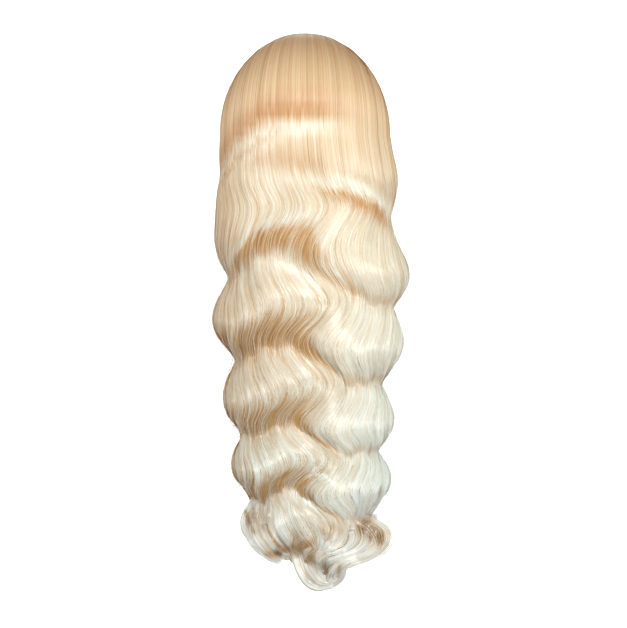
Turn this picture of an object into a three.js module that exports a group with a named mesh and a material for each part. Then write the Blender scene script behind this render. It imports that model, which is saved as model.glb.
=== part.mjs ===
// Long body wave wig: a head-shaped cap, the hair laid over its crown, and four long falls of waved hair.
// Millimetres. +X is the wearer's right, +Y is towards the wearer's face and +Z is up.
// The origin is the inside of the cap at its crown, where it sits on the head.
import * as THREE from "three";
import { LoftGeometry } from "three/addons/geometries/LoftGeometry.js";
import { mergeVertices } from "three/addons/utils/BufferGeometryUtils.js";

// Head and cap
const HEAD_HALF_WIDTH = 79;
const HEAD_HALF_LENGTH = 101;
const HEAD_RISE = 98; // from the widest girth up to the crown
const CAP_WALL = 1.5;
const CAP_SEAM = 0.35; // between the cap's crown and the band under it

// Hair over the cap
const CAP_GAP = 0.5; // between the cap and the hair over it
const FALL_GAP_TOP = 0.6; // between neighbouring falls of hair
const FALL_GAP_TIP = 9;
const GIRTH_GAP = 0.35; // between the crown hair and the falls under it
const CROWN_DEPTH = 7.5; // hair over the top of the cap
const GIRTH_DEPTH = 10; // hair over the cap's widest girth
const GIRTH_HALF_WIDTH = HEAD_HALF_WIDTH + CAP_WALL + CAP_GAP + GIRTH_DEPTH; // with its hair
const GIRTH_HALF_LENGTH = HEAD_HALF_LENGTH + CAP_WALL + CAP_GAP + GIRTH_DEPTH;
const PARTING_WIDTH = 7;
const PARTING_DENT = 0.55; // share of the hair's depth that is lost along the parting
const PARTING_BACK = 25; // how far in front of the crown the parting ends

const FRONT_AZIMUTH = 127.5; // where the falls end at the temples, in degrees
const FRINGE_AZIMUTH = 150; // from here on the crown hair's front edge is thin
const FRINGE_START = 0.65; // share of the way to the hairline where the hair starts to thin
const FRINGE_THINNING = 0.65; // share of the hair's depth that is lost at the front edge

// Body waves
const LONGEST_DROP = 478; // below the girth
const MIDLINE_AZIMUTH = 8; // where the left and the right waves meet, in degrees
const MIDLINE_BLEND = 12; // half of the angle over which they pass into each other, in degrees
const INNER_WAVE = 0.5; // share of the outward wave that reaches the inner face

// Locks
const LOCK_RIDGE_TOP = 1.2; // height of a lock's rounded back above the furrows beside it
const LOCK_RIDGE_TIP = 4.5;
const LOCK_POINT = 12; // how far a lock's tip reaches past the furrows beside it
const FURROW_START = 0.1; // share of the length over which the furrows deepen from nothing

// Faceting
const DOME_COLUMNS = 48;
const HAIR_ROWS = 8; // from the crown to the hairline
const SEAM_ROW = 5; // where the cap's crown meets its band
const EDGE_ROWS = 3; // from the hairline to the cap's edge
const FALL_ROWS = 34;
const STEPS_PER_LOCK_INSIDE = 2; // across a lock's inner face
const STEPS_PER_LOCK = 2 * STEPS_PER_LOCK_INSIDE;
const SAME_CORNER = 1e-3; // corners nearer than this are one

// Azimuth is measured in degrees from the back of the head towards the wearer's right.
// Polar angle is measured in degrees from the crown down over the head, 90 at the widest girth.

// Lower edge of the cap: nape, behind the ear, over the ear, ear tab, temple and forehead.
const CAP_EDGE = [
  { azimuth: 0, polar: 128 },
  { azimuth: 35, polar: 125 },
  { azimuth: 62, polar: 112 },
  { azimuth: 85, polar: 100 },
  { azimuth: 104, polar: 105 },
  { azimuth: 124, polar: 95 },
  { azimuth: 150, polar: 79 },
  { azimuth: 180, polar: 69 },
];

// Lower edge of the crown hair: level round the back and sides, rising over the forehead.
const HAIRLINE = [
  { azimuth: 0, polar: 90 },
  { azimuth: FRONT_AZIMUTH, polar: 90 },
  { azimuth: 142.5, polar: 80 },
  { azimuth: 165, polar: 68 },
  { azimuth: 180, polar: 65 },
];

// The hanging hair's outline at each drop below the girth, before the waves bend it.
const FALL_OUTLINE = [
  { drop: 0, halfWidth: GIRTH_HALF_WIDTH, halfDepth: GIRTH_HALF_LENGTH, shiftX: 0, shiftY: 0 },
  { drop: 60, halfWidth: 96.5, halfDepth: 112, shiftX: 3, shiftY: 0 },
  { drop: 100, halfWidth: 94.5, halfDepth: 110, shiftX: 2.5, shiftY: -1 },
  { drop: 145, halfWidth: 98, halfDepth: 107, shiftX: 6, shiftY: -3 },
  { drop: 170, halfWidth: 98.5, halfDepth: 104, shiftX: 8, shiftY: -4.5 },
  { drop: 200, halfWidth: 95.5, halfDepth: 101, shiftX: 5.5, shiftY: -6 },
  { drop: 250, halfWidth: 88, halfDepth: 96, shiftX: 4.5, shiftY: -9 },
  { drop: 300, halfWidth: 83.5, halfDepth: 90, shiftX: 5, shiftY: -12 },
  { drop: 345, halfWidth: 79.5, halfDepth: 84, shiftX: 7, shiftY: -15 },
  { drop: 385, halfWidth: 74, halfDepth: 78, shiftX: 8.5, shiftY: -18 },
  { drop: 420, halfWidth: 68, halfDepth: 72, shiftX: 11, shiftY: -21 },
  { drop: 448, halfWidth: 59, halfDepth: 62, shiftX: 10, shiftY: -26 },
  { drop: LONGEST_DROP, halfWidth: 33, halfDepth: 40, shiftX: 10, shiftY: -40 },
];

// Waves counted down the back from the first crease. They grow shorter towards the tips.
const WAVE_COUNT = [
  { drop: 0, count: 0.1 },
  { drop: 51, count: 0.5 },
  { drop: 122, count: 1 },
  { drop: 215, count: 2 },
  { drop: 299, count: 3 },
  { drop: 368, count: 4 },
  { drop: LONGEST_DROP, count: 5.5 },
];

// Reach of the waves: in and out of the outline, and sideways along it.
const WAVE_REACH = [
  { drop: 0, outward: 0, sideways: 0 },
  { drop: 20, outward: 0.3, sideways: 0.5 },
  { drop: 52, outward: 2.5, sideways: 3.5 },
  { drop: 105, outward: 4.5, sideways: 8 },
  { drop: 155, outward: 7, sideways: 11 },
  { drop: 225, outward: 8.5, sideways: 12.5 },
  { drop: 380, outward: 10.5, sideways: 13 },
  { drop: 440, outward: 11.5, sideways: 12 },
  { drop: LONGEST_DROP, outward: 8, sideways: 10 },
];

// How much later the waves come round the head, as a share of one wave, at the girth and at the hem.
const WAVE_LAG = [
  { azimuth: -128, top: 0.42, low: 0.42 },
  { azimuth: -90, top: 0.3, low: 0.3 },
  { azimuth: -60, top: 0.27, low: 0.27 },
  { azimuth: -42, top: 0.2, low: 0.2 },
  { azimuth: -30, top: 0.07, low: 0.07 },
  { azimuth: -18, top: 0, low: 0 },
  { azimuth: 25, top: 0, low: 0 },
  { azimuth: 50, top: 0.14, low: 0 },
  { azimuth: 90, top: 0.3, low: -0.06 },
  { azimuth: 128, top: 0.36, low: 0 },
];

// How far the hair hangs below the girth, before the locks point their tips.
const HEM = [
  { azimuth: -128, drop: 418 },
  { azimuth: -90, drop: 436 },
  { azimuth: -48, drop: 448 },
  { azimuth: -20, drop: 457 },
  { azimuth: 8, drop: LONGEST_DROP },
  { azimuth: 22, drop: 474 },
  { azimuth: 34, drop: 452 },
  { azimuth: 50, drop: 440 },
  { azimuth: 90, drop: 436 },
  { azimuth: 128, drop: 418 },
];

// Depth of the hanging hair from its outer to its inner face, along its length.
const FALL_DEPTH = [
  { along: 0, depth: GIRTH_DEPTH },
  { along: 0.05, depth: GIRTH_DEPTH },
  { along: 0.1, depth: 13.5 },
  { along: 0.17, depth: 18 },
  { along: 0.4, depth: 19.5 },
  { along: 0.75, depth: 17 },
  { along: 0.92, depth: 12 },
  { along: 1, depth: 4.5 },
];

// The falls, from the wearer's left temple round the back to the right temple.
const FALLS = [
  { name: "left_side_hair", from: -FRONT_AZIMUTH, to: -66, locks: 4 },
  { name: "left_back_hair", from: -66, to: MIDLINE_AZIMUTH, locks: 5 },
  { name: "right_back_hair", from: MIDLINE_AZIMUTH, to: 70, locks: 5 },
  { name: "right_side_hair", from: 70, to: FRONT_AZIMUTH, locks: 4 },
];

const radians = THREE.MathUtils.degToRad;
const HALF_SEAM_ANGLE = THREE.MathUtils.radToDeg(CAP_SEAM / 2 / HEAD_HALF_WIDTH);

// Reads a column of a table at a key, on a smooth curve that is level where the column turns.
function read(table, keyName, column, key) {
  const last = table.length - 1;
  if (key <= table[0][keyName]) return table[0][column];
  if (key >= table[last][keyName]) return table[last][column];
  const i = table.findIndex((row) => row[keyName] > key) - 1;
  const slope = (j) => {
    const here = table[j][column];
    const before = table[Math.max(j - 1, 0)];
    const after = table[Math.min(j + 1, last)];
    const turns = j > 0 && j < last && (after[column] - here) * (here - before[column]) <= 0;
    return turns ? 0 : (after[column] - before[column]) / (after[keyName] - before[keyName]);
  };
  const span = table[i + 1][keyName] - table[i][keyName];
  const t = (key - table[i][keyName]) / span;
  const rise = t * t * (3 - 2 * t);
  const leave = t * (1 - t) * (1 - t) * span * slope(i);
  const arrive = t * t * (t - 1) * span * slope(i + 1);
  return table[i][column] * (1 - rise) + table[i + 1][column] * rise + leave + arrive;
}

// A point on the head, or at a distance outside it.
function headPoint(azimuth, polar, outside) {
  const a = radians(azimuth);
  const p = radians(polar);
  return new THREE.Vector3(
    (HEAD_HALF_WIDTH + outside) * Math.sin(p) * Math.sin(a),
    -(HEAD_HALF_LENGTH + outside) * Math.sin(p) * Math.cos(a),
    (HEAD_RISE + outside) * Math.cos(p) - HEAD_RISE,
  );
}

// Azimuth from -180 to 180, the same way round as the wearer's left to right.
const wrapped = (azimuth) => THREE.MathUtils.euclideanModulo(azimuth + 180, 360) - 180;

// Polar angles of the rows of corners from the crown down to the hairline.
function hairRows(azimuth) {
  const low = read(HAIRLINE, "azimuth", "polar", Math.abs(azimuth));
  return Array.from({ length: HAIR_ROWS + 1 }, (_, row) => (low * row) / HAIR_ROWS);
}

// The cap has the same rows under the hair. Its crown takes the upper ones and ends at a seam.
function capCrownRows(azimuth) {
  const rows = hairRows(azimuth).slice(0, SEAM_ROW + 1);
  rows[SEAM_ROW] -= HALF_SEAM_ANGLE;
  return rows;
}

// The cap's band runs from the seam to the hairline and in more rows on to its own edge.
function capBandRows(azimuth) {
  const rows = hairRows(azimuth).slice(SEAM_ROW);
  const hairline = rows.at(-1);
  const edge = read(CAP_EDGE, "azimuth", "polar", Math.abs(azimuth));
  for (let row = 1; row <= EDGE_ROWS; row++) {
    rows.push(THREE.MathUtils.lerp(hairline, edge, row / EDGE_ROWS));
  }
  rows[0] += HALF_SEAM_ANGLE;
  return rows;
}

// A closed shell over the head. rows gives its polar angles at an azimuth, and
// outer and inner are its faces' distances outside the head.
function domeShell(rows, outer, inner, isTurned) {
  const rings = [];
  for (let column = 0; column < DOME_COLUMNS; column++) {
    const azimuth = wrapped((column * 360) / DOME_COLUMNS);
    const polars = rows(azimuth);
    const outside = polars.map((polar) => headPoint(azimuth, polar, outer(azimuth, polar)));
    const inside = polars.map((polar) => headPoint(azimuth, polar, inner));
    rings.push([...outside, ...inside.reverse()]);
  }
  return closedBody([...rings, rings[0]], isTurned);
}

// One body skinned over rings of corners, closed by the faces of its ends. A turned body is skinned
// backwards and its faces are turned back, so that they are split like those of the body beside it.
function closedBody(rings, isTurned, endFaces = []) {
  const loft = new LoftGeometry(isTurned ? rings.map((ring) => ring.toReversed()) : rings);
  const sides = [...loft.index.array];
  if (isTurned) sides.reverse();
  const bare = new THREE.BufferGeometry();
  bare.setAttribute("position", loft.getAttribute("position"));
  bare.setIndex([...sides, ...endFaces]);
  const merged = mergeVertices(bare, SAME_CORNER);
  const corners = merged.index.array;
  const kept = [];
  for (let i = 0; i < corners.length; i += 3) {
    const [a, b, c] = corners.slice(i, i + 3);
    if (a !== b && b !== c && c !== a) kept.push(a, b, c);
  }
  merged.setIndex(kept);
  merged.computeVertexNormals();
  return merged;
}

// Depth of the hair over the cap, with a dent along the parting and a thin edge over the forehead.
function crownDepth(azimuth, polar) {
  const depth = THREE.MathUtils.lerp(CROWN_DEPTH, GIRTH_DEPTH, Math.sin(radians(polar)) ** 2);
  const { x, y } = headPoint(azimuth, polar, 0);
  const inFront = THREE.MathUtils.smoothstep(y, PARTING_BACK - PARTING_WIDTH, PARTING_BACK + PARTING_WIDTH);
  const dent = PARTING_DENT * inFront * Math.exp(-((x / PARTING_WIDTH) ** 2));
  const toHairline = polar / read(HAIRLINE, "azimuth", "polar", Math.abs(azimuth));
  const atEdge = THREE.MathUtils.smoothstep(toHairline, FRINGE_START, 1);
  const overFace = THREE.MathUtils.smoothstep(Math.abs(azimuth), FRONT_AZIMUTH, FRINGE_AZIMUTH);
  return depth * (1 - Math.max(dent, FRINGE_THINNING * atEdge * overFace));
}

// How far the waves move the hair outward, and sideways towards the wearer's right. All of it sways
// together, and left and right of the midline it swells in turn as it sways towards the midline.
function wave(azimuth, drop) {
  const lag = (column) => read(WAVE_LAG, "azimuth", column, azimuth);
  const lagHere = THREE.MathUtils.lerp(lag("top"), lag("low"), drop / LONGEST_DROP);
  const swing = Math.cos(2 * Math.PI * (read(WAVE_COUNT, "drop", "count", drop) - lagHere));
  const side = Math.tanh((azimuth - MIDLINE_AZIMUTH) / MIDLINE_BLEND);
  return {
    outward: side * swing * read(WAVE_REACH, "drop", "outward", drop),
    sideways: -swing * read(WAVE_REACH, "drop", "sideways", drop),
  };
}

// A point of the hanging hair, moved outward and sideways from its outline.
function fallPoint(azimuth, drop, outward, sideways) {
  const shape = (column) => read(FALL_OUTLINE, "drop", column, drop);
  const a = radians(azimuth) + sideways / shape("halfWidth");
  return new THREE.Vector3(
    shape("shiftX") + (shape("halfWidth") + outward) * Math.sin(a),
    shape("shiftY") - (shape("halfDepth") + outward) * Math.cos(a),
    -HEAD_RISE - GIRTH_GAP - drop,
  );
}

// One fall: rounded locks side by side on a common backing, each ending in a tip.
function fall({ from, to, locks }, isTurned) {
  const columns = (perLock) => Array.from({ length: locks * perLock + 1 }, (_, i) => i / perLock);
  const roundness = (lock) => Math.abs(Math.sin(Math.PI * lock));

  const facePoint = ({ lock, isOuter }, along) => {
    const spacing = THREE.MathUtils.lerp(FALL_GAP_TOP, FALL_GAP_TIP, along ** 2);
    const gap = THREE.MathUtils.radToDeg(spacing / 2 / HEAD_HALF_WIDTH);
    const azimuth = THREE.MathUtils.lerp(from + gap, to - gap, lock / locks);
    const drop = along * read(HEM, "azimuth", "drop", azimuth);
    const shortening = LOCK_POINT * (1 - roundness(lock) ** 2) * along ** 3;
    const ridge = THREE.MathUtils.lerp(LOCK_RIDGE_TOP, LOCK_RIDGE_TIP, along);
    const depth = read(FALL_DEPTH, "along", "depth", along);
    const shown = THREE.MathUtils.smoothstep(along, 0, FURROW_START);
    const furrow = Math.min(ridge * (1 - roundness(lock)) * shown, depth / 2);
    const { outward, sideways } = wave(azimuth, drop);
    const reach = isOuter ? outward - furrow : outward * INNER_WAVE - depth;
    return fallPoint(azimuth, drop - shortening, reach, sideways);
  };

  const outer = columns(STEPS_PER_LOCK).map((lock) => ({ lock, isOuter: true }));
  const inner = columns(STEPS_PER_LOCK_INSIDE).map((lock) => ({ lock, isOuter: false }));
  const ring = [...outer.reverse(), ...inner];
  const rings = Array.from({ length: FALL_ROWS + 1 }, (_, row) =>
    ring.map((corner) => facePoint(corner, row / FALL_ROWS)),
  );
  return closedBody(rings, isTurned, endFaces(locks, isTurned));
}

// Faces that close the top and the hem of a fall. Each step across its inner face meets two across its outer.
function endFaces(locks, isTurned) {
  const outerSteps = locks * STEPS_PER_LOCK;
  const innerSteps = locks * STEPS_PER_LOCK_INSIDE;
  const last = outerSteps + innerSteps + 1;
  const corner = (i) => (isTurned ? last - i : i);
  const outer = (column) => corner(outerSteps - column);
  const inner = (column) => corner(outerSteps + 1 + column);
  const faces = [];
  for (let i = 0; i < innerSteps; i++) {
    faces.push([inner(i), outer(2 * i + 1), outer(2 * i)]);
    faces.push([inner(i), inner(i + 1), outer(2 * i + 1)]);
    faces.push([inner(i + 1), outer(2 * i + 2), outer(2 * i + 1)]);
  }
  const hemStart = FALL_ROWS * (last + 2); // a ring takes one more place than it has corners
  const top = faces.flatMap(([a, b, c]) => [c, b, a]);
  const hem = faces.flat().map((i) => i + hemStart);
  return [...top, ...hem];
}

const capNet = new THREE.MeshStandardMaterial({ color: 0xd8b48a, roughness: 0.9, metalness: 0 });
const blondeHair = new THREE.MeshStandardMaterial({ color: 0xe8c48e, roughness: 0.42, metalness: 0 });

const wig = new THREE.Group();

function addPiece(name, geometry, material) {
  const piece = new THREE.Mesh(geometry, material);
  piece.name = name;
  wig.add(piece);
}

const underCrown = CAP_WALL + CAP_GAP; // from the head to the inside of the crown hair
addPiece("cap_crown", domeShell(capCrownRows, () => CAP_WALL, 0, false), capNet);
addPiece("cap_band", domeShell(capBandRows, () => CAP_WALL, 0, false), capNet);
addPiece(
  "crown_hair",
  domeShell(hairRows, (azimuth, polar) => underCrown + crownDepth(azimuth, polar), underCrown, true),
  blondeHair,
);
FALLS.forEach((row, i) => addPiece(row.name, fall(row, i % 2 === 1), blondeHair));

export default wig;
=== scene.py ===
# %% [markdown]
# A long body wave wig
#
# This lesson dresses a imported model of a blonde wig. The model gives the cap, the hair over the crown and
# four falls of hair as plain solids. Here they become a net cap, soft cores of hair, and thousands of thin
# ribbons that follow the same waves. Everything is worked out in millimetres and turned into metres at the
# moment a mesh is made.

# %% Load the frame
import math

import bpy
import numpy as np
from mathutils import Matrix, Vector


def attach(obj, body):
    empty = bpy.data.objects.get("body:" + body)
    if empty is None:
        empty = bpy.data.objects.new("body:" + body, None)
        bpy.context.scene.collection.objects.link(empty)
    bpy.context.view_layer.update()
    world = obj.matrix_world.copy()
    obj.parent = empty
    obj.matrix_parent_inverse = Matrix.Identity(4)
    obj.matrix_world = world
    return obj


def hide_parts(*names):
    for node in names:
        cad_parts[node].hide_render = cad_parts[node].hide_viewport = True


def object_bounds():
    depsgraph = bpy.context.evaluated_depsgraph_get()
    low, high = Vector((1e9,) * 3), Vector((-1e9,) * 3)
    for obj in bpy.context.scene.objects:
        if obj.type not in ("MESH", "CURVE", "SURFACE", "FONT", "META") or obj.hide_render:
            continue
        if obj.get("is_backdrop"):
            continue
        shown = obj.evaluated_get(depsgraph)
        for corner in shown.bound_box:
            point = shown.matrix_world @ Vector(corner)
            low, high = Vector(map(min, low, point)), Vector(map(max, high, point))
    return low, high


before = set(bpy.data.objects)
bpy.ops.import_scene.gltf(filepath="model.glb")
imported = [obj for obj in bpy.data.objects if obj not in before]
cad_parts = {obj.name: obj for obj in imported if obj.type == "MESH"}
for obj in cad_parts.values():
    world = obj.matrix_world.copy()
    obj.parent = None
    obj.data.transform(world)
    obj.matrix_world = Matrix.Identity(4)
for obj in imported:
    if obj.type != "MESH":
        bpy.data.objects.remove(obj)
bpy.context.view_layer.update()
MM = 0.001
dice = np.random.default_rng(613)
print("nodes:", ", ".join(sorted(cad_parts)))

# %% [markdown]
# The sizes of the head and its hair
#
# A wig is a head-shaped cap with hair laid over it, so a few head sizes drive everything else. The angles
# are an azimuth, measured from the back of the head towards the wearer's right, and a polar angle, measured
# from the crown down over the head. Hair that hangs is measured by its drop below the widest girth.

# %% Driving sizes
HEAD_HALF_WIDTH = 79
HEAD_HALF_LENGTH = 101
HEAD_RISE = 98
CAP_WALL = 1.5
CAP_GAP = 0.5
GIRTH_DEPTH = 10
UNDER_CROWN = CAP_WALL + CAP_GAP
GIRTH_HALF_WIDTH = HEAD_HALF_WIDTH + UNDER_CROWN + GIRTH_DEPTH
GIRTH_HALF_LENGTH = HEAD_HALF_LENGTH + UNDER_CROWN + GIRTH_DEPTH
FRONT_AZIMUTH = 127.5  # how far round to the front the hair hangs
LONGEST_DROP = 478
print("girth with hair:", 2 * GIRTH_HALF_WIDTH, "by", 2 * GIRTH_HALF_LENGTH, "mm")

# %% [markdown]
# Reading a table as a smooth curve
#
# Short tables hold what was read off the real thing, one row for each place. The hair needs the
# values between the rows too. A cubic curve through the rows, level wherever a column turns, gives them
# without overshoot. It reads whole arrays at once, which keeps thousands of strands quick.


# %% Smooth tables
def table(columns, *rows):
    """Rows of numbers with named columns, of which the first is the key."""
    return np.array(list(rows), dtype=[(name, float) for name in columns.split()])


def read(rows, column, key):
    """The column's value at each key, on a smooth curve through the rows."""
    knots, values = rows[rows.dtype.names[0]], rows[column]
    rise = np.diff(values) / np.diff(knots)
    slopes = np.concatenate([rise[:1], (values[2:] - values[:-2]) / (knots[2:] - knots[:-2]), rise[-1:]])
    slopes[1:-1][rise[:-1] * rise[1:] <= 0] = 0
    key = np.clip(key, knots[0], knots[-1])
    i = np.clip(np.searchsorted(knots, key, side="right") - 1, 0, len(knots) - 2)
    span = knots[i + 1] - knots[i]
    t = (key - knots[i]) / span
    share = t * t * (3 - 2 * t)
    bend = t * (1 - t) * span * ((1 - t) * slopes[i] - t * slopes[i + 1])
    return values[i] * (1 - share) + values[i + 1] * share + bend


def smooth_step(value, low, high):
    t = np.clip((value - low) / (high - low), 0, 1)
    return t * t * (3 - 2 * t)


def lerp(start, end, share):
    return start + (end - start) * share


def unit(vectors):
    return vectors / (np.linalg.norm(vectors, axis=-1, keepdims=True) + 1e-9)


example = table("key value", (0, 0), (1, 2), (3, 2))
print("between and on the rows:", read(example, "value", np.array([0.5, 1, 2])))

# %% [markdown]
# The crown that the hair lies on
#
# Over the crown the hair follows an ellipsoid, in a layer that is deepest at the girth. It is thinner along
# the short parting and at the edge over the forehead. A formula for a point of the head, which takes whole
# arrays of angles, is all that the cap, the cores and the strands need.

# %% Crown
CROWN_DEPTH = 7.5
PARTING_WIDTH, PARTING_BACK = 7, 25
PARTING_DENT = 0.55  # how much of its depth the hair loses along the parting
FRINGE_AZIMUTH, FRINGE_START = 150, 0.65  # where the hair grows thin over the forehead
FRINGE_THINNING = 0.65
HAIRLINE = table("azimuth polar", (0, 90), (FRONT_AZIMUTH, 90), (142.5, 80), (165, 68), (180, 65))


def head_point(azimuth, polar, outside):
    a, p = np.radians(azimuth), np.radians(polar)
    return np.stack(
        [
            (HEAD_HALF_WIDTH + outside) * np.sin(p) * np.sin(a),
            -(HEAD_HALF_LENGTH + outside) * np.sin(p) * np.cos(a),
            (HEAD_RISE + outside) * np.cos(p) - HEAD_RISE,
        ],
        axis=-1,
    )


def crown_depth(azimuth, polar):
    """Depth of the hair over the cap, with a dent along the parting and a thin edge over the forehead."""
    depth = lerp(CROWN_DEPTH, GIRTH_DEPTH, np.sin(np.radians(polar)) ** 2)
    x, y, _ = np.moveaxis(head_point(azimuth, polar, 0), -1, 0)
    in_front = smooth_step(y, PARTING_BACK - PARTING_WIDTH, PARTING_BACK + PARTING_WIDTH)
    dent = PARTING_DENT * in_front * np.exp(-((x / PARTING_WIDTH) ** 2))
    at_edge = smooth_step(polar / read(HAIRLINE, "polar", np.abs(azimuth)), FRINGE_START, 1)
    over_face = smooth_step(np.abs(azimuth), FRONT_AZIMUTH, FRINGE_AZIMUTH)
    return depth * (1 - np.maximum(dent, FRINGE_THINNING * at_edge * over_face))


print("hair over the crown:", crown_depth(0.0, 20.0).round(1), "mm, and at the girth:", GIRTH_DEPTH, "mm")

# %% [markdown]
# Body waves
#
# Below the girth the hair sways from side to side in broad waves. Each half of it swells while it sways
# towards the middle, so the left and the right swell in turn. That gives the stepped outline. The solids
# have plain smooth waves. Here the crests grow broader, the creases sharper, and each crease runs on across
# the midline as an arch that ends half a wave lower on the right.

# %% Waves
WAVE_COUNT = table(
    "drop count",
    (0, 0.1), (51, 0.5), (122, 1), (215, 2), (299, 3), (368, 4), (LONGEST_DROP, 5.5),
)
WAVE_REACH = table(
    "drop outward sideways",
    (0, 0, 0), (20, 0.3, 0.5), (52, 2.5, 3.5), (105, 4.5, 8), (155, 7, 11), (225, 8.5, 12.5),
    (380, 10.5, 13), (440, 11.5, 12), (LONGEST_DROP, 8, 10),
)
WAVE_LAG = table(
    "azimuth top low",
    (-128, 0.42, 0.42), (-90, 0.3, 0.3), (-60, 0.27, 0.27), (-42, 0.2, 0.2), (-30, 0.07, 0.07),
    (-18, 0, 0), (25, 0, 0), (50, 0.14, 0), (90, 0.3, -0.06), (128, 0.36, 0),
)
MIDLINE_AZIMUTH, MIDLINE_BLEND = 8, 16  # where the halves of the back meet, and how far they blend
CREASE_SHARPNESS = 0.75
CREASE_ROUNDING = 0.025
SCALLOP_SINK = 1.15  # how far the scalloped waves are lowered, in parts of the waves' reach
FIRST_WAVE_GAIN = 0.4
FIRST_WAVE_START, FIRST_WAVE_END = (50, 110), (190, 300)  # the drops where that gain comes and goes
MIDLINE_CALM = 0.65  # share of the waves' reach that is left on the midline
UNEVEN_LAG = ((0.035, 0.12, 0.017), (0.022, 0.33, -0.023))  # size, turn for a degree, turn for a millimetre
UNEVEN_END = (45, 75)  # the azimuths between which the unevenness is lost


def uneven_lag(azimuth, drop):
    """A small uneven part of the waves' lag, lost at the sides so that the outline stays."""
    uneven = sum(size * np.sin(around * azimuth + down * drop) for size, around, down in UNEVEN_LAG)
    return uneven * (1 - smooth_step(np.abs(azimuth), *UNEVEN_END))


def wave_phase(azimuth, drop, lag=0):
    """The phase of the sway, that of the creases, and how far across the midline each place lies."""
    lag = lag + lerp(read(WAVE_LAG, "top", azimuth), read(WAVE_LAG, "low", azimuth), drop / LONGEST_DROP)
    lag = lag + uneven_lag(azimuth, drop)
    sway = 2 * np.pi * (read(WAVE_COUNT, "count", drop) - lag)
    across = smooth_step(azimuth, MIDLINE_AZIMUTH - MIDLINE_BLEND, MIDLINE_AZIMUTH + MIDLINE_BLEND)
    return sway, sway - np.pi * across, across


def wave(azimuth, drop, lag=0):
    """How far the waves move the hair outward, and sideways towards the wearer's right."""
    sway, crease, across = wave_phase(azimuth, drop, lag)
    smooth = -np.cos(crease) * lerp(1, MIDLINE_CALM, 4 * across * (1 - across))
    scalloped = 2 * np.sqrt(lerp((1 + smooth) / 2, 1, CREASE_ROUNDING)) - SCALLOP_SINK
    in_first_wave = smooth_step(drop, *FIRST_WAVE_START) * (1 - smooth_step(drop, *FIRST_WAVE_END))
    swell = 1 + FIRST_WAVE_GAIN * in_first_wave
    outward = lerp(smooth, scalloped, CREASE_SHARPNESS) * swell * read(WAVE_REACH, "outward", drop)
    return outward, -np.cos(sway) * read(WAVE_REACH, "sideways", drop)


print("waves down the longest hair:", WAVE_COUNT["count"][-1])

# %% [markdown]
# The curtain that hangs from the girth
#
# The waves move a curtain whose outline narrows towards the tips. It is divided into four falls, as in the
# model, and each fall into locks with furrows between them, which are deepest at the tips. A formula for a
# point of the curtain lets the cores and the strands share one form.

# %% Curtain
FALL_OUTLINE = table(
    "drop half_width half_depth shift_x shift_y",
    (0, GIRTH_HALF_WIDTH, GIRTH_HALF_LENGTH, 0, 0),
    (60, 96.5, 112, 3, 0),
    (100, 94.5, 110, 2.5, -1),
    (145, 98, 107, 6, -3),
    (170, 98.5, 104, 8, -4.5),
    (200, 95.5, 101, 5.5, -6),
    (250, 88, 96, 4.5, -9),
    (300, 83.5, 90, 5, -12),
    (345, 79.5, 84, 7, -15),
    (385, 74, 78, 8.5, -18),
    (420, 68, 72, 11, -21),
    (448, 59, 62, 10, -26),
    (LONGEST_DROP, 33, 40, 10, -40),
)
FALLS = {
    "left_side_hair": (-FRONT_AZIMUTH, -66, 4),
    "left_back_hair": (-66, MIDLINE_AZIMUTH, 5),
    "right_back_hair": (MIDLINE_AZIMUTH, 70, 5),
    "right_side_hair": (70, FRONT_AZIMUTH, 4),
}
LOCK_RIDGE_TOP, LOCK_RIDGE_TIP = 1.2, 4.5  # how deep the furrows are


def curtain_point(azimuth, drop, outward, sideways):
    """A point of the hanging hair, moved outward and sideways from its outline."""
    half_width = read(FALL_OUTLINE, "half_width", drop)
    a = np.radians(azimuth) + sideways / half_width
    x = read(FALL_OUTLINE, "shift_x", drop) + (half_width + outward) * np.sin(a)
    y = read(FALL_OUTLINE, "shift_y", drop) - (read(FALL_OUTLINE, "half_depth", drop) + outward) * np.cos(a)
    return np.stack([x, y, np.broadcast_to(-HEAD_RISE - drop, x.shape)], axis=-1)


def lock_place(azimuth):
    """Where each azimuth lies in its lock: 0 in a furrow, 1 on the lock's back."""
    roundness = np.zeros_like(azimuth)
    for low, high, locks in FALLS.values():
        inside = (azimuth >= low) & (azimuth <= high)
        place = (azimuth - low) / (high - low) * locks
        roundness = np.where(inside, np.abs(np.sin(np.pi * place)), roundness)
    return roundness


def lock_ridge(azimuth, along):
    """How far the furrows between the locks lie below the locks' backs."""
    ridge = lerp(LOCK_RIDGE_TOP, LOCK_RIDGE_TIP, along) * smooth_step(along, 0, 0.1)
    return ridge * (1 - lock_place(azimuth))


print("locks round the head:", sum(locks for _, _, locks in FALLS.values()))
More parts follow.
